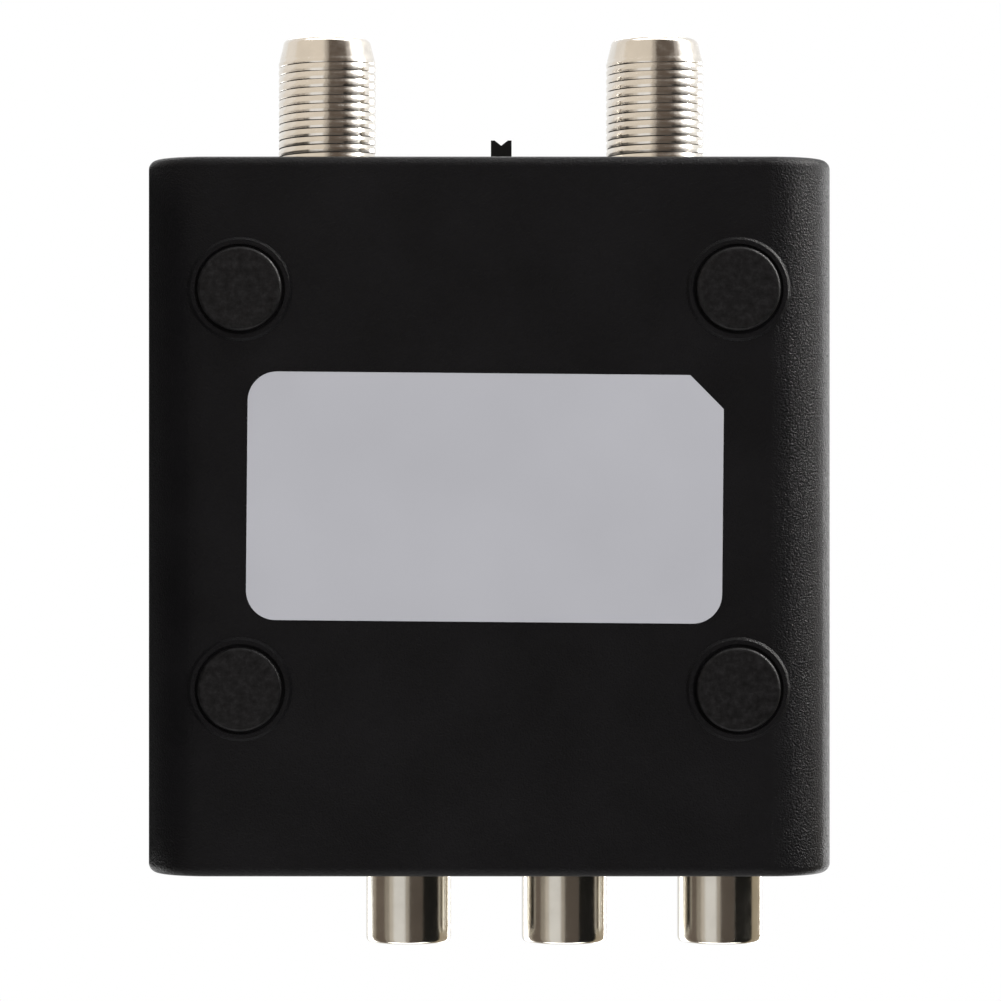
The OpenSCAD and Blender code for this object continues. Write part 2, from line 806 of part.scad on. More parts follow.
module power_socket_pin() {
    tip_y = power_face_y + power_pin_inset;
    color("#cfcac2")
        union() {
            y_rod(power_x, tip_y + power_pin_d / 2, power_y1 + leg_t, power_pin_d);
            translate([power_x, tip_y + power_pin_d / 2, socket_z]) sphere(d = power_pin_d);
            leg(power_x, power_tail_y, leg_w, leg_t, socket_z);
        }
}

module power_socket_spring() {
    strip_z = socket_z - power_bore_d / 2 - power_spring_t;
    color("#cfcac2")
        union() {
            block(power_x, power_spring_y1 - power_spring_l / 2, strip_z,
                [power_spring_w, power_spring_l, power_spring_t]);
            leg(power_x, power_spring_y, leg_t, leg_w, strip_z + power_spring_t / 2);
        }
}

// Folded steel frame of the switch, open at the back
module switch_frame() {
    window_w = knob_w + knob_travel + 2 * knob_gap;
    color("#b7b7b5")
        difference() {
            union() {
                block(switch_x, (frame_y0 + frame_y1) / 2, board_top_z, [frame_w, frame_l, frame_h]);
                for (s = [-1, 1])
                    leg(switch_x + s * frame_leg_x, frame_leg_y, frame_t, leg_w, board_top_z + merge);
            }
            block(switch_x, (frame_y0 + frame_y1 - frame_t - overrun) / 2, board_top_z + frame_t,
                [frame_w - 2 * frame_t, frame_l - frame_t + overrun, frame_h - 2 * frame_t]);
            block(switch_x, frame_y1, knob_z - knob_h / 2 - knob_gap,
                [window_w, 2 * overrun, knob_h + 2 * knob_gap]);
        }
}

module switch_base() {
    inner_h = frame_h - 2 * (frame_t + fit_gap);
    color("#7a5a36")
        difference() {
            block(switch_x, frame_y0 + switch_base_t / 2, knob_z - inner_h / 2,
                [frame_w - 2 * (frame_t + fit_gap), switch_base_t, inner_h]);
            for (i = [-1, 0, 1])
                y_rod(switch_x + i * terminal_pitch, frame_y0 - overrun, frame_y0 + switch_base_t + overrun,
                    terminal_d + 2 * fit_gap, knob_z);
        }
}

module switch_terminals() {
    color("#cfcac2")
        for (i = [-1, 0, 1]) {
            x = switch_x + i * terminal_pitch;
            union() {
                y_rod(x, terminal_y, frame_y0 + switch_base_t + pad_proud, terminal_d, knob_z);
                translate([x, terminal_y, knob_z]) sphere(d = terminal_d);
                lead(x, terminal_y, terminal_d, knob_z);
            }
        }
}

// Sliding knob with a vee notch for the thumbnail
module switch_knob() {
    notch_half = knob_w * notch_share / 2;
    color("#0e0e10")
        difference() {
            union() {
                block(knob_rest_x, (slider_y0 + slider_y1) / 2, knob_z - slider_h / 2,
                    [slider_w, slider_y1 - slider_y0, slider_h]);
                block(knob_rest_x, (slider_y0 + knob_tip_y) / 2, knob_z - knob_h / 2,
                    [knob_w, knob_tip_y - slider_y0, knob_h]);
            }
            translate([knob_rest_x, knob_tip_y, knob_z - knob_h / 2 - overrun])
                linear_extrude(knob_h + 2 * overrun)
                    polygon([
                        [-notch_half, 0], [-notch_half, overrun], [notch_half, overrun], [notch_half, 0],
                        [0, -knob_notch]
                    ]);
        }
}

module switch_wiper() {
    color("#d9b45a")
        block(knob_rest_x, slider_y0 - wiper_t / 2, knob_z - wiper_h / 2,
            [terminal_pitch + 2 * terminal_d, wiper_t, wiper_h]);
}

module shield_frame() {
    color("#b9bbb8")
        difference() {
            union() {
                block(0, can_y, board_top_z, [can_w, can_l, can_h - can_t]);
                for (x = [-can_leg_x, can_leg_x], s = [-1, 1])
                    leg(x, can_y + s * (can_l - can_t) / 2, leg_w, can_t, board_top_z + merge);
            }
            block(0, can_y, board_top_z - overrun,
                [can_w - 2 * can_t, can_l - 2 * can_t, can_h + 2 * overrun]);
        }
}

module shield_lid() {
    outer_w = can_w + 2 * (can_gap + can_t);
    outer_l = can_l + 2 * (can_gap + can_t);
    top = board_top_z + can_h;
    color("#c4c6c3")
        difference() {
            block(0, can_y, top - can_skirt, [outer_w, outer_l, can_skirt]);
            block(0, can_y, top - can_skirt - overrun,
                [outer_w - 2 * can_t, outer_l - 2 * can_t, can_skirt - can_t + overrun]);
            for (p = coil_places)
                translate([p[0], p[1], top - can_t - overrun])
                    cylinder(d = can_hole_d, h = can_t + 2 * overrun);
        }
}

// One gull-wing lead, seen from its end, that starts at a body of half width half_w
module gull_lead(half_w, rise, y) {
    foot_x = half_w + lead_reach - lead_foot;
    translate([0, y + lead_w / 2, board_top_z])
        rotate([90, 0, 0])
            linear_extrude(lead_w)
                polygon([
                    [half_w - lead_t, rise], [half_w - lead_t, rise + lead_t],
                    [foot_x, rise + lead_t], [foot_x, lead_t],
                    [foot_x + lead_foot, lead_t], [foot_x + lead_foot, 0],
                    [foot_x - lead_t, 0], [foot_x - lead_t, rise]
                ]);
}

// A chip body with rows of leads along both long sides
module chip(x, y, w, l, h, count) {
    rise = chip_stand + h / 2 - lead_t / 2;
    translate([x, y, 0])
        union() {
            block(0, 0, board_top_z + chip_stand, [w, l, h]);
            for (i = [0 : count - 1], a = [0, 180])
                rotate([0, 0, a])
                    gull_lead(w / 2, rise, (i - (count - 1) / 2) * chip_pitch);
        }
}

module modulator_chip() {
    color("#26262a") chip(chip_x, can_y, chip_w, chip_l, chip_h, 10);
}

module audio_chip() {
    color("#26262a") chip(audio_x, audio_y, audio_w, audio_l, audio_h, 4);
}

// Voltage regulator with a soldered tab on one side and three leads on the other
module regulator() {
    rise = chip_stand + reg_h / 2 - lead_t / 2;
    color("#26262a")
        translate([reg_x, reg_y, 0])
            union() {
                block(0, 0, board_top_z + chip_stand, [reg_l, reg_w, reg_h]);
                for (i = [-1, 0, 1])
                    gull_lead(reg_l / 2, rise, i * reg_pitch);
                for (i = [-2 : 2])
                    rotate([0, 0, 180])
                        gull_lead(reg_l / 2, rise, i * reg_tab_w / 5);
            }
}

// Flat metal can with rounded ends, on a flange
module crystal() {
    module plan(grow) {
        straight = crystal_l - crystal_w;
        square([straight, crystal_w + 2 * grow], center = true);
        for (s = [-1, 1])
            translate([s * straight / 2, 0]) circle(d = crystal_w + 2 * grow);
    }
    color("#c4c6c3")
        union() {
            translate([crystal_x, crystal_y, board_top_z]) linear_extrude(crystal_h) plan(0);
            translate([crystal_x, crystal_y, board_top_z])
                linear_extrude(crystal_flange_t) plan(crystal_flange);
            for (s = [-1, 1])
                lead(crystal_x + s * crystal_pitch / 2, crystal_y, crystal_lead_d, board_top_z + merge);
        }
}

// One upright capacitor, rolled in above its base and scored on top
module electrolytic(x, y, d, h) {
    difference() {
        union() {
            translate([x, y, board_top_z])
                rotate_extrude()
                    difference() {
                        square([d / 2, h]);
                        translate([d / 2, can_groove_z]) circle(can_groove);
                    }
            for (s = [-1, 1])
                lead(x + s * cap_pitch / 2, y, cap_lead_d, board_top_z + merge);
        }
        for (a = [0, 90])
            translate([x, y, board_top_z + h - can_vent_depth])
                rotate([0, 0, a])
                    block(0, 0, 0, [d / 2, can_vent_w, can_vent_depth + overrun]);
    }
}

module electrolytic_capacitors() {
    color("#2b3550")
        for (c = capacitor_places)
            electrolytic(c[0], c[1], c[2], c[3]);
}

// A row of chip capacitors across the board, in front of the screening can
module chip_capacitors() {
    y = can_y - can_l / 2 - can_t - can_gap - small_step;
    color("#b08d63")
        for (i = [-3 : 3])
            block(i * small_step, y, board_top_z, [small_w, small_l, small_h]);
}

// A row of chip resistors beside the screening can, and one inside it, past the chip's leads
module chip_resistors() {
    inside_x = (chip_x + chip_w / 2 + lead_reach + crystal_x - crystal_l / 2 - crystal_flange) / 2;
    color("#1b1b1d") {
        for (i = [-2 : 2])
            block(-can_w / 2 - small_step, can_y + i * small_step, board_top_z, [small_l, small_w, small_h]);
        for (i = [-1 : 1])
            block(inside_x, can_y + i * small_step, board_top_z, [small_l, small_w, small_h]);
    }
}

// Two screened coils inside the can, with tuning slugs under the lid holes
module tuning_coils() {
    color("#c4c6c3")
        for (p = coil_places)
            translate([p[0], p[1], board_top_z])
                difference() {
                    cylinder(d = coil_d, h = coil_h);
                    translate([0, 0, coil_h - coil_slug_in])
                        cylinder(d = coil_slug_d, h = coil_slug_in + overrun);
                }
}

module splitter_core() {
    color("#3a3a3c")
        difference() {
            block(bead_x, bead_y, board_top_z, [bead_w, bead_l, bead_h]);
            for (s = [-1, 1])
                y_rod(bead_x + s * bead_pitch / 2, bead_y - bead_l / 2 - overrun,
                    bead_y + bead_l / 2 + overrun, bead_hole_d, board_top_z + bead_h / 2);
        }
}

// One wire that goes out through one hole of the bead and comes back through the other
module splitter_winding() {
    z = board_top_z + bead_h / 2 - bead_hole_d / 2 + wire_d / 2 + fit_gap;
    y0 = bead_y - bead_l / 2 - wire_bow;
    y1 = bead_y + bead_l / 2 + wire_bow;
    color("#a8552a")
        union() {
            for (s = [-1, 1]) {
                y_rod(bead_x + s * bead_pitch / 2, y0, y1, wire_d, z);
                lead(bead_x + s * bead_pitch / 2, y0, wire_d, z);
                translate([bead_x + s * bead_pitch / 2, y0, z]) sphere(d = wire_d);
                translate([bead_x + s * bead_pitch / 2, y1, z]) sphere(d = wire_d);
            }
            translate([bead_x - bead_pitch / 2, y1, z])
                rotate([0, 90, 0]) cylinder(d = wire_d, h = bead_pitch);
        }
}

bottom_shell();
top_shell();
label();
foot(foot_places[0]);  // foot_front_left
foot(foot_places[1]);  // foot_rear_left
foot(foot_places[2]);  // foot_front_right
foot(foot_places[3]);  // foot_rear_right
case_screws();
main_board();
coax_barrel(coax_places[1]);  // antenna_socket_barrel
coax_insulator(coax_places[1]);  // antenna_socket_insulator
coax_contact(coax_places[1]);  // antenna_socket_contact
coax_barrel(coax_places[0]);  // tv_socket_barrel
coax_insulator(coax_places[0]);  // tv_socket_insulator
coax_contact(coax_places[0]);  // tv_socket_contact
phono_sleeve(phono_places[0]);  // video_socket_sleeve
phono_moulding(phono_places[0], "#e0b81c");  // video_socket_moulding
phono_contact(phono_places[0]);  // video_socket_contact
phono_sleeve(phono_places[1]);  // left_audio_socket_sleeve
phono_moulding(phono_places[1], "#e9e7e0");  // left_audio_socket_moulding
phono_contact(phono_places[1]);  // left_audio_socket_contact
phono_sleeve(phono_places[2]);  // right_audio_socket_sleeve
phono_moulding(phono_places[2], "#b8232a");  // right_audio_socket_moulding
phono_contact(phono_places[2]);  // right_audio_socket_contact
power_socket_body();
power_socket_pin();
power_socket_spring();
switch_frame();
switch_base();
switch_terminals();
switch_knob();
switch_wiper();
shield_frame();
shield_lid();
modulator_chip();
audio_chip();
regulator();
crystal();
electrolytic_capacitors();
chip_capacitors();
chip_resistors();
tuning_coils();
splitter_core();
splitter_winding();
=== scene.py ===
import json
import math

import bmesh
import bpy
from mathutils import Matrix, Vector


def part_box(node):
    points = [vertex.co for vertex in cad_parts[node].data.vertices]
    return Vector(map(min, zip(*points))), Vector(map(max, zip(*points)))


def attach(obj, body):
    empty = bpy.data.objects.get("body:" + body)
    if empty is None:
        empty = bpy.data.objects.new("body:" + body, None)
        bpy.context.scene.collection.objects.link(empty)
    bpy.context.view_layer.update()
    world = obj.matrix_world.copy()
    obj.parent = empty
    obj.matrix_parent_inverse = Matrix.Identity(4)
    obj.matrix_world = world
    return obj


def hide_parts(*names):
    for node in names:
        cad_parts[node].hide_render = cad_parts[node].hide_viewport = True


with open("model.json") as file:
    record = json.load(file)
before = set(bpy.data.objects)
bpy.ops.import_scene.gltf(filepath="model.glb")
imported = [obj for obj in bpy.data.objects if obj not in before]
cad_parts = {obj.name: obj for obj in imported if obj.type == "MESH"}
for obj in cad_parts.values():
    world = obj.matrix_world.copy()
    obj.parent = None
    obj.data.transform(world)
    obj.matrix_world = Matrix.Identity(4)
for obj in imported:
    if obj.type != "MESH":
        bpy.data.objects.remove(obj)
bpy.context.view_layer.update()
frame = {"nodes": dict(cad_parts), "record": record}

MM = 0.001


# Places taken from the frame

def centre(node):
    """Middle of a CAD node's box."""
    low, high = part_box(node)
    return (low + high) / 2


front_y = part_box("bottom_shell")[0].y
rear_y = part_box("bottom_shell")[1].y
board_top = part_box("main_board")[1].z


# Camera: it looks straight up at the underside, with the coaxial sockets at the top of the picture

CAMERA_X, CAMERA_Y, CAMERA_AWAY = -1.08 * MM, -1.03 * MM, 400 * MM
CLIP_START, CLIP_END = 0.01, 20
VIEW_WIDTH = 97.85 * MM
SENSOR = 36


def make_camera():
    scene = bpy.context.scene
    scene.view_settings.view_transform = "Standard"
    data = bpy.data.cameras.new("camera")
    data.sensor_width = SENSOR
    data.lens = SENSOR * CAMERA_AWAY / VIEW_WIDTH
    data.clip_start = CLIP_START
    data.clip_end = CLIP_END
    camera = bpy.data.objects.new("camera", data)
    bpy.context.collection.objects.link(camera)
    camera.location = (CAMERA_X, CAMERA_Y, centre("antenna_socket_insulator").z - CAMERA_AWAY)
    camera.rotation_euler = (0, math.pi, 0)
    scene.camera = camera


# Materials

# Most values of a noise or cell texture lie between these two
NOISE_LOW, NOISE_HIGH = 0.3, 0.7


class NodeTree:
    """Short ways to add nodes to a node tree."""

    def __init__(self, tree):
        self.nodes = tree.nodes
        self.links = tree.links

    def node(self, kind, **inputs):
        """A new node, with values or links for the inputs named."""
        node = self.nodes.new(kind)
        for key, value in inputs.items():
            self.put(value, node.inputs[key.replace("_", " ")])
        return node

    def put(self, value, socket):
        if isinstance(value, bpy.types.NodeSocket):
            self.links.new(value, socket)
        else:
            socket.default_value = value

    def maths(self, kind, a, b):
        node = self.nodes.new("ShaderNodeMath")
        node.operation = kind
        self.put(a, node.inputs[0])
        self.put(b, node.inputs[1])
        return node.outputs[0]


class Material(NodeTree):
    """A node material with a principled shader."""

    def __init__(self, name, **values):
        self.mat = bpy.data.materials.new(name)
        self.mat.use_nodes = True
        super().__init__(self.mat.node_tree)
        self.shader = self.nodes["Principled BSDF"]
        for key, value in values.items():
            self.put(value, self.shader.inputs[key.replace("_", " ")])
        self.place = self.nodes.new("ShaderNodeTexCoord").outputs["Object"]

    def noise(self, size_mm, detail=3.0, roughness=0.5, squeeze=(1, 1, 1)):
        """Noise whose features are about size_mm across, squeezed along an axis if asked."""
        where = self.node("ShaderNodeMapping", Vector=self.place, Scale=squeeze)
        node = self.node("ShaderNodeTexNoise", Vector=where.outputs[0], Scale=1 / (size_mm * MM),
                         Detail=detail, Roughness=roughness)
        return node.outputs["Fac"]

    def cells(self, size_mm):
        """Distance to the middle of the nearest cell, with cells about size_mm across."""
        node = self.node("ShaderNodeTexVoronoi", Vector=self.place, Scale=1 / (size_mm * MM))
        return node.outputs["Distance"]

    def tint(self, value, *colours):
        """Sets the base colour to a blend of the colours, spread evenly over the value."""
        ramp = self.nodes.new("ShaderNodeValToRGB")
        elements = ramp.color_ramp.elements
        for i, colour in enumerate(colours):
            spot = NOISE_LOW + (NOISE_HIGH - NOISE_LOW) * i / (len(colours) - 1)
            element = elements[i] if i < 2 else elements.new(spot)
            element.position = spot
            element.color = (*colour, 1)
        self.put(value, ramp.inputs[0])
        self.put(ramp.outputs[0], self.shader.inputs["Base Color"])

    def rough(self, value, low, high):
        """Sets the roughness, from low to high over the value."""
        level = self.node("ShaderNodeMapRange", Value=value, From_Min=NOISE_LOW, From_Max=NOISE_HIGH,
                          To_Min=low, To_Max=high)
        self.put(level.outputs["Result"], self.shader.inputs["Roughness"])

    def bump(self, height, depth_mm):
        node = self.node("ShaderNodeBump", Height=height, Distance=depth_mm * MM, Strength=1.0)
        self.put(node.outputs[0], self.shader.inputs["Normal"])


def shade(colour, factor):
    return tuple(channel * factor for channel in colour)


def case_plastic():
    """Black plastic with a fine spark-eroded grain."""
    m = Material("case_plastic", Specular_IOR_Level=0.085)
    black = (0.0060, 0.0056, 0.0063)
    grain = m.noise(0.19, detail=2.0, roughness=0.7)
    m.tint(m.noise(9, detail=2.0), shade(black, 0.8), black, shade(black, 1.2))
    m.rough(m.noise(0.3), 0.28, 0.42)
    m.bump(grain, 0.105)
    return m.mat


def foot_rubber():
    """Black rubber, a little dusty."""
    m = Material("foot_rubber", Specular_IOR_Level=0.1)
    black = (0.0085, 0.0080, 0.0083)
    m.tint(m.noise(0.7, detail=5.0, roughness=0.7), shade(black, 0.3), black, shade(black, 2.1))
    m.rough(m.noise(0.3), 0.35, 0.5)
    m.bump(m.noise(0.2, detail=3.0), 0.03)
    return m.mat


def label_vinyl():
    """Grey film with a faint orange-peel surface."""
    m = Material("label_vinyl", Specular_IOR_Level=0.4)
    grey = (0.53, 0.53, 0.57)
    m.tint(m.noise(14, detail=2.0), shade(grey, 0.97), grey, shade(grey, 1.03))
    m.rough(m.noise(2.5), 0.42, 0.5)
    m.bump(m.noise(0.5, detail=4.0), 0.004)
    return m.mat


def plated(name, plate, rough):
    """Bright plate, a little warm, with faint turning marks."""
    m = Material(name, Metallic=1.0)
    m.tint(m.noise(3, detail=3.0), shade(plate, 0.94), plate, shade(plate, 1.05))
    m.rough(m.noise(0.8, detail=4.0), *rough)
    m.bump(m.noise(0.5, squeeze=(1, 6, 1)), 0.003)
    return m.mat


def metal(name, colour, rough=(0.25, 0.4), grain_mm=0.6):
    m = Material(name, Metallic=1.0)
    m.tint(m.noise(grain_mm * 4), shade(colour, 0.85), colour, shade(colour, 1.1))
    m.rough(m.noise(grain_mm), *rough)
    m.bump(m.noise(grain_mm / 3, squeeze=(1, 5, 1)), 0.004)
    return m.mat


def moulded(name, colour, rough=(0.3, 0.45), gloss=0.5):
    grain_mm = 0.4
    m = Material(name, Specular_IOR_Level=gloss)
    m.tint(m.noise(grain_mm * 8), shade(colour, 0.9), colour, shade(colour, 1.1))
    m.rough(m.noise(grain_mm), *rough)
    m.bump(m.noise(grain_mm / 2), 0.006)
    return m.mat


def board_green():
    """Green solder mask over copper areas."""
    m = Material("board_green")
    m.tint(m.cells(6), (0.012, 0.09, 0.04), (0.02, 0.15, 0.06), (0.03, 0.2, 0.085))
    m.rough(m.noise(1.0), 0.25, 0.4)
    m.bump(m.cells(3), 0.02)
    return m.mat


def make_materials():
    """The materials by name. The names are given here because the frame has its own of the same names."""
    return {
        "case_plastic": case_plastic(),
        "label_vinyl": label_vinyl(),
        "foot_rubber": foot_rubber(),
        "nickel": plated("nickel", (0.74, 0.70, 0.64), rough=(0.12, 0.22)),
        "bright_nickel": plated("bright_nickel", (0.58, 0.55, 0.49), rough=(0.13, 0.19)),
        "board_green": board_green(),
        "zinc_steel": metal("zinc_steel", (0.55, 0.55, 0.53)),
        "gold_contact": metal("gold_contact", (0.83, 0.6, 0.26), rough=(0.15, 0.3)),
        "tinned_brass": metal("tinned_brass", (0.66, 0.63, 0.57)),
        "tinned_steel": metal("tinned_steel", (0.62, 0.63, 0.62), grain_mm=1.5),
        "enamelled_copper": metal("enamelled_copper", (0.5, 0.17, 0.06), rough=(0.2, 0.3)),
        "insulator_white": moulded("insulator_white", (0.78, 0.76, 0.7)),
        "yellow_plastic": moulded("yellow_plastic", (0.72, 0.47, 0.02), rough=(0.2, 0.32)),
        "white_plastic": moulded("white_plastic", (0.78, 0.77, 0.73), rough=(0.2, 0.32)),
        "red_plastic": moulded("red_plastic", (0.5, 0.02, 0.025), rough=(0.2, 0.32)),
        "black_plastic": moulded("black_plastic", (0.004, 0.004, 0.0045), gloss=0.15),
        "phenolic": moulded("phenolic", (0.2, 0.1, 0.04), rough=(0.5, 0.7)),
        "sleeve_blue": moulded("sleeve_blue", (0.02, 0.035, 0.1), rough=(0.2, 0.3)),
        "ceramic_brown": moulded("ceramic_brown", (0.38, 0.25, 0.13), rough=(0.4, 0.6)),
        "ferrite": moulded("ferrite", (0.045, 0.045, 0.05), rough=(0.5, 0.7)),
    }


def dress_nodes(materials):
    """Gives every CAD node the material of its slot, and the phono sleeves their brighter plate."""
    slots = {part["node"]: part["material_slot"] for part in frame["record"]["subparts"]}
    for name, node in frame["nodes"].items():
        look = "bright_nickel" if name.endswith("sleeve") else slots[name]
        node.data.materials.clear()
        node.data.materials.append(materials[look])


# Turned pieces

AROUND = 96
ROUND_STEPS = 8
LEG_SIDES = 16
WELD = MM / 10000
SHARP_ANGLE = math.radians(50)


def on_circle(j, radius):
    """Point j of the AROUND points of a circle, as offsets along X and Z."""
    turn = 2 * math.pi * j / AROUND
    return radius * math.sin(turn), radius * math.cos(turn)


def place_ring(mesh, middle, y, offsets):
    return [mesh.verts.new((middle.x + x, y, middle.z + z)) for x, z in offsets]


def ring(mesh, middle, y, radius):
    return place_ring(mesh, middle, y, [on_circle(j, radius) for j in range(AROUND)])


def block_ring(mesh, middle, y, half_width, below, above):
    """A ring of AROUND points on the outline of a rectangle about the axis."""
    offsets = []
    for j in range(AROUND):
        x, z = on_circle(j, 1)
        reach = 1 / max(abs(x), abs(z))
        offsets.append((half_width * x * reach, (above if z > 0 else below) * z * reach))
    return place_ring(mesh, middle, y, offsets)


def skin(mesh, rings):
    """Faces between each ring and the next."""
    for a, b in zip(rings, rings[1:]):
        for j in range(AROUND):
            k = (j + 1) % AROUND
            mesh.faces.new((a[j], a[k], b[k], b[j]))


def rounded(y, radius, along, across):
    """Profile points of a quarter round that turns from the outer wall onto the end face at y."""
    turns = [math.pi / 2 * i / ROUND_STEPS for i in range(ROUND_STEPS + 1)]
    return [(y - along * (1 - math.sin(turn)), radius - across * (1 - math.cos(turn))) for turn in turns]


def add_prism(mesh, outline, low_z, high_z):
    """A closed upright prism over a list of (x, y) points."""
    bottom, top = ([mesh.verts.new((x, y, z)) for x, y in outline] for z in (low_z, high_z))
    mesh.faces.new(bottom)
    mesh.faces.new(top)
    for j in range(len(outline)):
        k = (j + 1) % len(outline)
        mesh.faces.new((bottom[j], bottom[k], top[k], top[j]))


def round_outline(x, y, radius):
    turns = [2 * math.pi * j / LEG_SIDES for j in range(LEG_SIDES)]
    return [(x + radius * math.cos(turn), y + radius * math.sin(turn)) for turn in turns]


def box_outline(x, y, half_x, half_y):
    signs = ((-1, -1), (1, -1), (1, 1), (-1, 1))
    return [(x + sign_x * half_x, y + sign_y * half_y) for sign_x, sign_y in signs]


def finish_piece(name, mesh, material, node):
    """Makes a piece of the mesh, smooth but for its edges, in place of a CAD node."""
    data = bpy.data.meshes.new(name)
    bmesh.ops.remove_doubles(mesh, verts=mesh.verts, dist=WELD)
    bmesh.ops.recalc_face_normals(mesh, faces=mesh.faces)
    mesh.to_mesh(data)
    mesh.free()
    data.materials.append(material)
    data.shade_smooth()
    data.set_sharp_from_angle(angle=SHARP_ANGLE)
    piece = bpy.data.objects.new(name, data)
    bpy.context.collection.objects.link(piece)
    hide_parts(node)
    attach(piece, "modulator")


# Coaxial sockets

# Thread: its pitch, the wave of its section, and the groove at each root with one slow side and one steep
PITCH = 25.4 / 32 * MM
PITCH_ROWS = 14
RUN_OUT = 0.8 * PITCH
WAVE_DEPTH, GROOVE_DEPTH = 0.035 * MM, 0.055 * MM
GROOVE_SLOPE, GROOVE_WALL = 0.4, 0.075
# How far inside the rear wall the thread starts, and how far from the tip it ends
THREAD_IN, THREAD_END = 0.3 * MM, 1.9 * MM
CREST_R, NECK_R, BORE_R = 4.75 * MM, 4.35 * MM, 3.1 * MM
NOSE_L, NOSE_R, TIP_R, LIP = 2.5 * MM, 4.3 * MM, 0.7 * MM, 0.3 * MM
BLOCK_HALF, BLOCK_L = 5.7 * MM, 7.4 * MM
LEG_R, LEG_IN = 0.65 * MM, 1.2 * MM


def thread_cut(rows):
    """Depth of the rolled thread below its crest, at a number of rows along it."""
    share = rows / PITCH_ROWS
    past = share - round(share)
    wave = (1 + math.cos(2 * math.pi * share)) / 2
    groove = 1 - past / GROOVE_WALL if past > 0 else 1 + past / GROOVE_SLOPE
    return WAVE_DEPTH * wave + GROOVE_DEPTH * max(0, groove)


def barrel_radius(y, tip_y):
    """Crest radius: level, then tapering over the nose."""
    taper = max(0, y - (tip_y - NOSE_L)) / (NOSE_L - TIP_R)
    return CREST_R + (NOSE_R - CREST_R) * min(1, taper)


def add_thread(mesh, middle, start, end, tip_y):
    """A helical thread: each row climbs one pitch in a turn and is held between start and end."""
    step = PITCH / PITCH_ROWS
    rows = []
    for i in range(-PITCH_ROWS, math.ceil((end - start) / step) + 1):
        row = []
        for j in range(AROUND + 1):
            y = min(end, max(start, start + (i + PITCH_ROWS * j / AROUND) * step))
            run_out = min(1, (end - y) / RUN_OUT)
            radius = NECK_R if y == start else barrel_radius(y, tip_y) - thread_cut(i) * run_out
            x, z = on_circle(j, radius)
            row.append(mesh.verts.new((middle.x + x, y, middle.z + z)))
        rows.append(row)
    for a, b in zip(rows, rows[1:]):
        for j in range(AROUND):
            mesh.faces.new((a[j], a[j + 1], b[j + 1], b[j]))


def coax_barrel(node, material):
    """Turned barrel with a real thread, its square block and the four legs, in place of the plain one."""
    low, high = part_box(node)
    middle = centre(node.replace("barrel", "insulator"))
    tip_y, block_y = high.y, low.y
    start, end = rear_y - THREAD_IN, tip_y - THREAD_END
    mesh = bmesh.new()
    add_thread(mesh, middle, start, end, tip_y)
    nose = [(end, barrel_radius(end, tip_y))] + rounded(tip_y, NOSE_R, TIP_R, TIP_R)
    bore = [(tip_y, BORE_R + LIP), (tip_y - LIP, BORE_R), (block_y, BORE_R)]
    skin(mesh, [ring(mesh, middle, y, radius) for y, radius in nose + bore])
    block = [block_ring(mesh, middle, y, BLOCK_HALF, middle.z - board_top, high.z - middle.z)
             for y in (block_y, block_y + BLOCK_L)]
    skin(mesh, [ring(mesh, middle, block_y, BORE_R), *block,
                ring(mesh, middle, block_y + BLOCK_L, NECK_R), ring(mesh, middle, start, NECK_R)])
    for dx in (LEG_IN - BLOCK_HALF, BLOCK_HALF - LEG_IN):
        for y in (block_y + LEG_IN, block_y + BLOCK_L - LEG_IN):
            add_prism(mesh, round_outline(middle.x + dx, y, LEG_R), low.z, board_top)
    finish_piece(node.replace("barrel", "threaded_barrel"), mesh, material, node)


# Phono sleeves

SLEEVE_R, SLEEVE_BORE_R, SHOULDER_R, FLANGE_R = 4.15 * MM, 3.65 * MM, 4.35 * MM, 4.9 * MM
RIM_R, RIM_L, FLANGE_T = 0.24 * MM, 0.55 * MM, 0.5 * MM
STRAP_W, LEG_W = 2.6 * MM, 1 * MM


def phono_sleeve(node, material):
    """Drawn sleeve with a rolled rim, a shoulder, a flange and its earth strap, in place of the plain one."""
    low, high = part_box(node)
    middle = Vector(((low.x + high.x) / 2, 0, high.z - FLANGE_R))
    flange_y = high.y - FLANGE_T
    rim = rounded(low.y, SLEEVE_R, -RIM_L, RIM_R)
    inner = [(y, SLEEVE_BORE_R + SLEEVE_R - radius) for y, radius in rim]
    profile = ([(high.y, SLEEVE_BORE_R)] + inner + rim[::-1]
               + [(front_y, SLEEVE_R), (front_y, SHOULDER_R), (flange_y, SHOULDER_R), (flange_y, FLANGE_R),
                  (high.y, FLANGE_R), (high.y, SLEEVE_BORE_R)])
    mesh = bmesh.new()
    skin(mesh, [ring(mesh, middle, y, radius) for y, radius in profile])
    strap_y = (flange_y + high.y) / 2
    for width, low_z, high_z in ((STRAP_W, board_top, middle.z - SLEEVE_BORE_R), (LEG_W, low.z, board_top)):
        add_prism(mesh, box_outline(middle.x, strap_y, width / 2, FLANGE_T / 2), low_z, high_z)
    finish_piece(node.replace("sleeve", "rolled_sleeve"), mesh, material, node)


def dress_sockets(materials):
    for name in ("antenna", "tv"):
        coax_barrel(name + "_socket_barrel", materials["nickel"])
    for name in ("video", "left_audio", "right_audio"):
        phono_sleeve(name + "_socket_sleeve", materials["bright_nickel"])


# Stage: floor, world, lamps and cards

FLOOR_HALF, FLOOR_DROP = 1.5, 0.02 * MM
# The floor fades to clear between these two distances from its middle
FADE_START, FADE_END = 0.12, 0.3
WORLD_FILL = 0.4


def add_square(name, half):
    """A flat square about the origin."""
    mesh = bmesh.new()
    bmesh.ops.create_grid(mesh, x_segments=1, y_segments=1, size=half)
    data = bpy.data.meshes.new(name)
    mesh.to_mesh(data)
    mesh.free()
    square = bpy.data.objects.new(name, data)
    bpy.context.collection.objects.link(square)
    return square


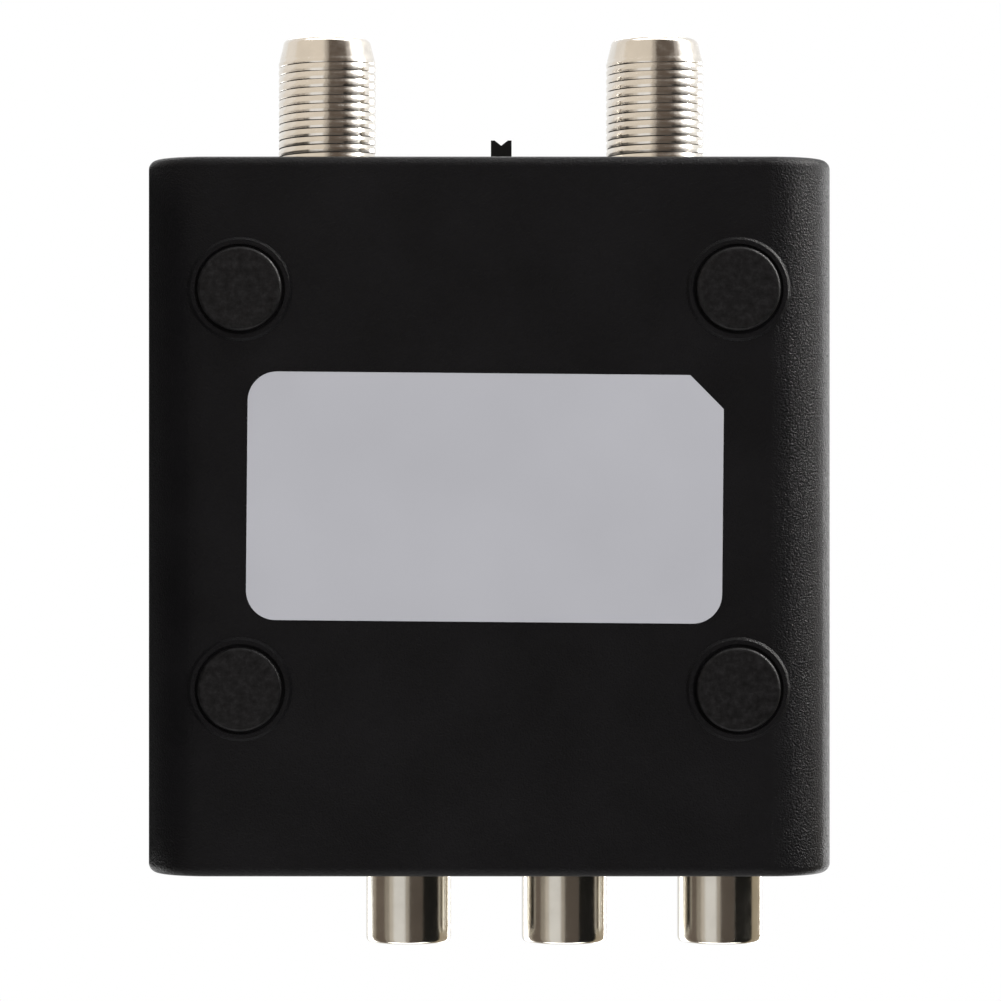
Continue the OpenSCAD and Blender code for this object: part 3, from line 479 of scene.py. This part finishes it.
def hide_from(thing, rays):
    for ray in rays:
        setattr(thing, f"visible_{ray}", False)


def make_floor():
    """Pale floor under the feet. From below, where the photograph was taken, it is clear."""
    floor = add_square("floor", FLOOR_HALF)
    floor.location = (0, 0, -FLOOR_DROP)
    m = Material("floor", Roughness=0.6)
    m.tint(m.noise(60, detail=2.0), (0.86, 0.86, 0.86), (0.89, 0.89, 0.89))
    away = m.nodes.new("ShaderNodeVectorMath")
    away.operation = "LENGTH"
    m.links.new(m.place, away.inputs[0])
    fade = m.node("ShaderNodeMapRange", Value=away.outputs["Value"], From_Min=FADE_START, From_Max=FADE_END)
    side = m.nodes.new("ShaderNodeNewGeometry")
    clear = m.nodes.new("ShaderNodeBsdfTransparent")
    mix = m.nodes.new("ShaderNodeMixShader")
    m.links.new(m.maths("MAXIMUM", side.outputs["Backfacing"], fade.outputs["Result"]), mix.inputs[0])
    m.links.new(m.shader.outputs[0], mix.inputs[1])
    m.links.new(clear.outputs[0], mix.inputs[2])
    m.links.new(mix.outputs[0], m.nodes["Material Output"].inputs["Surface"])
    floor.data.materials.append(m.mat)
    hide_from(floor, ("diffuse", "glossy", "shadow", "transmission"))


def make_world():
    """White for the camera, for reflections and through clear things, and a softer fill for the rest."""
    world = bpy.data.worlds.new("world")
    bpy.context.scene.world = world
    world.use_nodes = True
    tree = NodeTree(world.node_tree)
    rays = tree.nodes.new("ShaderNodeLightPath")
    seen = rays.outputs["Is Camera Ray"]
    for name in ("Is Glossy Ray", "Is Transmission Ray"):
        seen = tree.maths("MAXIMUM", seen, rays.outputs[name])
    level = tree.node("ShaderNodeMapRange", Value=seen, To_Min=WORLD_FILL, To_Max=1.0)
    background = tree.nodes["Background"]
    tree.put((1, 1, 1, 1), background.inputs["Color"])
    tree.put(level.outputs["Result"], background.inputs["Strength"])


def lamp(name, place, target, size_m, watts, colour=(1, 1, 1), unseen_by=()):
    """A rectangular lamp that faces the target."""
    data = bpy.data.lights.new(name, "AREA")
    data.shape = "RECTANGLE"
    data.size, data.size_y = size_m
    data.energy = watts
    data.color = colour
    light = bpy.data.objects.new(name, data)
    bpy.context.collection.objects.link(light)
    light.location = place
    light.rotation_euler = (Vector(target) - Vector(place)).to_track_quat("-Z", "Y").to_euler()
    hide_from(light, unseen_by)


def make_lights():
    middle = (0, 0, 0.01)
    # The main light skims the underside from the upper right of the picture
    lamp("key", place=(-0.43, 0.33, 0.012), target=(0, 0, 0.012), size_m=(0.5, 0.018), watts=12.5,
         colour=(1.0, 0.985, 0.96), unseen_by=("diffuse",))
    lamp("side", (-0.46, -0.02, 0.5), middle, size_m=(0.35, 0.25), watts=1.6)
    lamp("under_fill", (-0.25, 0.15, -0.8), middle, size_m=(0.5, 0.5), watts=3.5, unseen_by=("glossy",))
    lamp("top_left", (-0.6, -0.5, 0.8), middle, size_m=(0.7, 0.7), watts=5.5)
    lamp("top_right", (0.7, -0.4, 0.6), middle, size_m=(0.6, 0.6), watts=2.8)
    lamp("top_back", (0.1, 0.7, 0.7), middle, size_m=(0.6, 0.6), watts=2.5)


# What the bright metal mirrors: bands between two angles, counted from straight down towards -X
PHONO_BANDS = (
    (-114, -100, (0.42, 0.37, 0.31)),
    (-100, -68, (0.19, 0.155, 0.13)),
    (-68, -54, (0.40, 0.36, 0.31)),
    (-54, -42, (0.72, 0.67, 0.60)),
    (-9, 2, (0.50, 0.46, 0.41)),
    (2, 41, (0.125, 0.105, 0.09)),
    (41, 96, (0.013, 0.013, 0.012)),
    (96, 140, (0.48, 0.41, 0.30)),
)
COAX_BANDS = (
    (-125, -88, (0.95, 0.90, 0.84)),
    (-88, -7, (0.86, 0.78, 0.68)),
    (-7, 3, (0.50, 0.45, 0.39)),
    (3, 54, (0.12, 0.093, 0.074)),
    (54, 66, (0.42, 0.38, 0.35)),
)
CARD_AWAY, CARD_LENGTH = 0.42, 2.0


def emission_card(name, place, turn, size_xy, colour, strength):
    """A glowing card that only reflections see."""
    card = add_square(name, 0.5)
    card.location = place
    card.rotation_euler = turn
    card.scale = (*size_xy, 1)
    mat = bpy.data.materials.new(name)
    mat.use_nodes = True
    tree = NodeTree(mat.node_tree)
    tree.nodes.clear()
    glow = tree.node("ShaderNodeEmission", Color=(*colour, 1), Strength=strength)
    tree.node("ShaderNodeOutputMaterial", Surface=glow.outputs[0])
    card.data.materials.append(mat)
    hide_from(card, ("camera", "diffuse", "shadow", "transmission", "volume_scatter"))


def band_card(name, side, start, end, colour):
    """A long card along Y that fills one band for the sockets on one side of the case, and faces them."""
    turn = math.radians((start + end) / 2)
    width = 2 * CARD_AWAY * math.tan(math.radians(end - start) / 2)
    place = (-CARD_AWAY * math.sin(turn), side * CARD_LENGTH / 2, -CARD_AWAY * math.cos(turn))
    tilt = math.atan2(-place[0], -place[2])
    emission_card(name, place, (0, tilt, 0), (width, CARD_LENGTH), colour, 1.0)


def make_cards():
    """Cards that only reflections see, as a studio has around a small bright object."""
    for name, side, bands in (("phono_band", -1, PHONO_BANDS), ("coax_band", 1, COAX_BANDS)):
        for i, (start, end, colour) in enumerate(bands):
            band_card(f"{name}_{i}", side, start, end, colour)
    facing_y = (math.radians(90), 0, 0)
    facing_x = (0, math.radians(90), 0)
    # Bright strips light the case's end edges
    for name, side in (("rear_strip", 1), ("front_strip", -1)):
        emission_card(name, (-0.05, side * 0.5, -0.17), facing_y, size_xy=(0.9, 0.24),
                      colour=(1, 1, 1), strength=4.0)
    # A dark flag keeps the left side of the black case black
    emission_card("flag_beside", (0.037, -0.0025, 0.041), facing_x, size_xy=(0.11, 0.07),
                  colour=(0.01, 0.01, 0.01), strength=1.0)


make_camera()
materials = make_materials()
dress_nodes(materials)
dress_sockets(materials)
make_floor()
make_world()
make_lights()
make_cards()
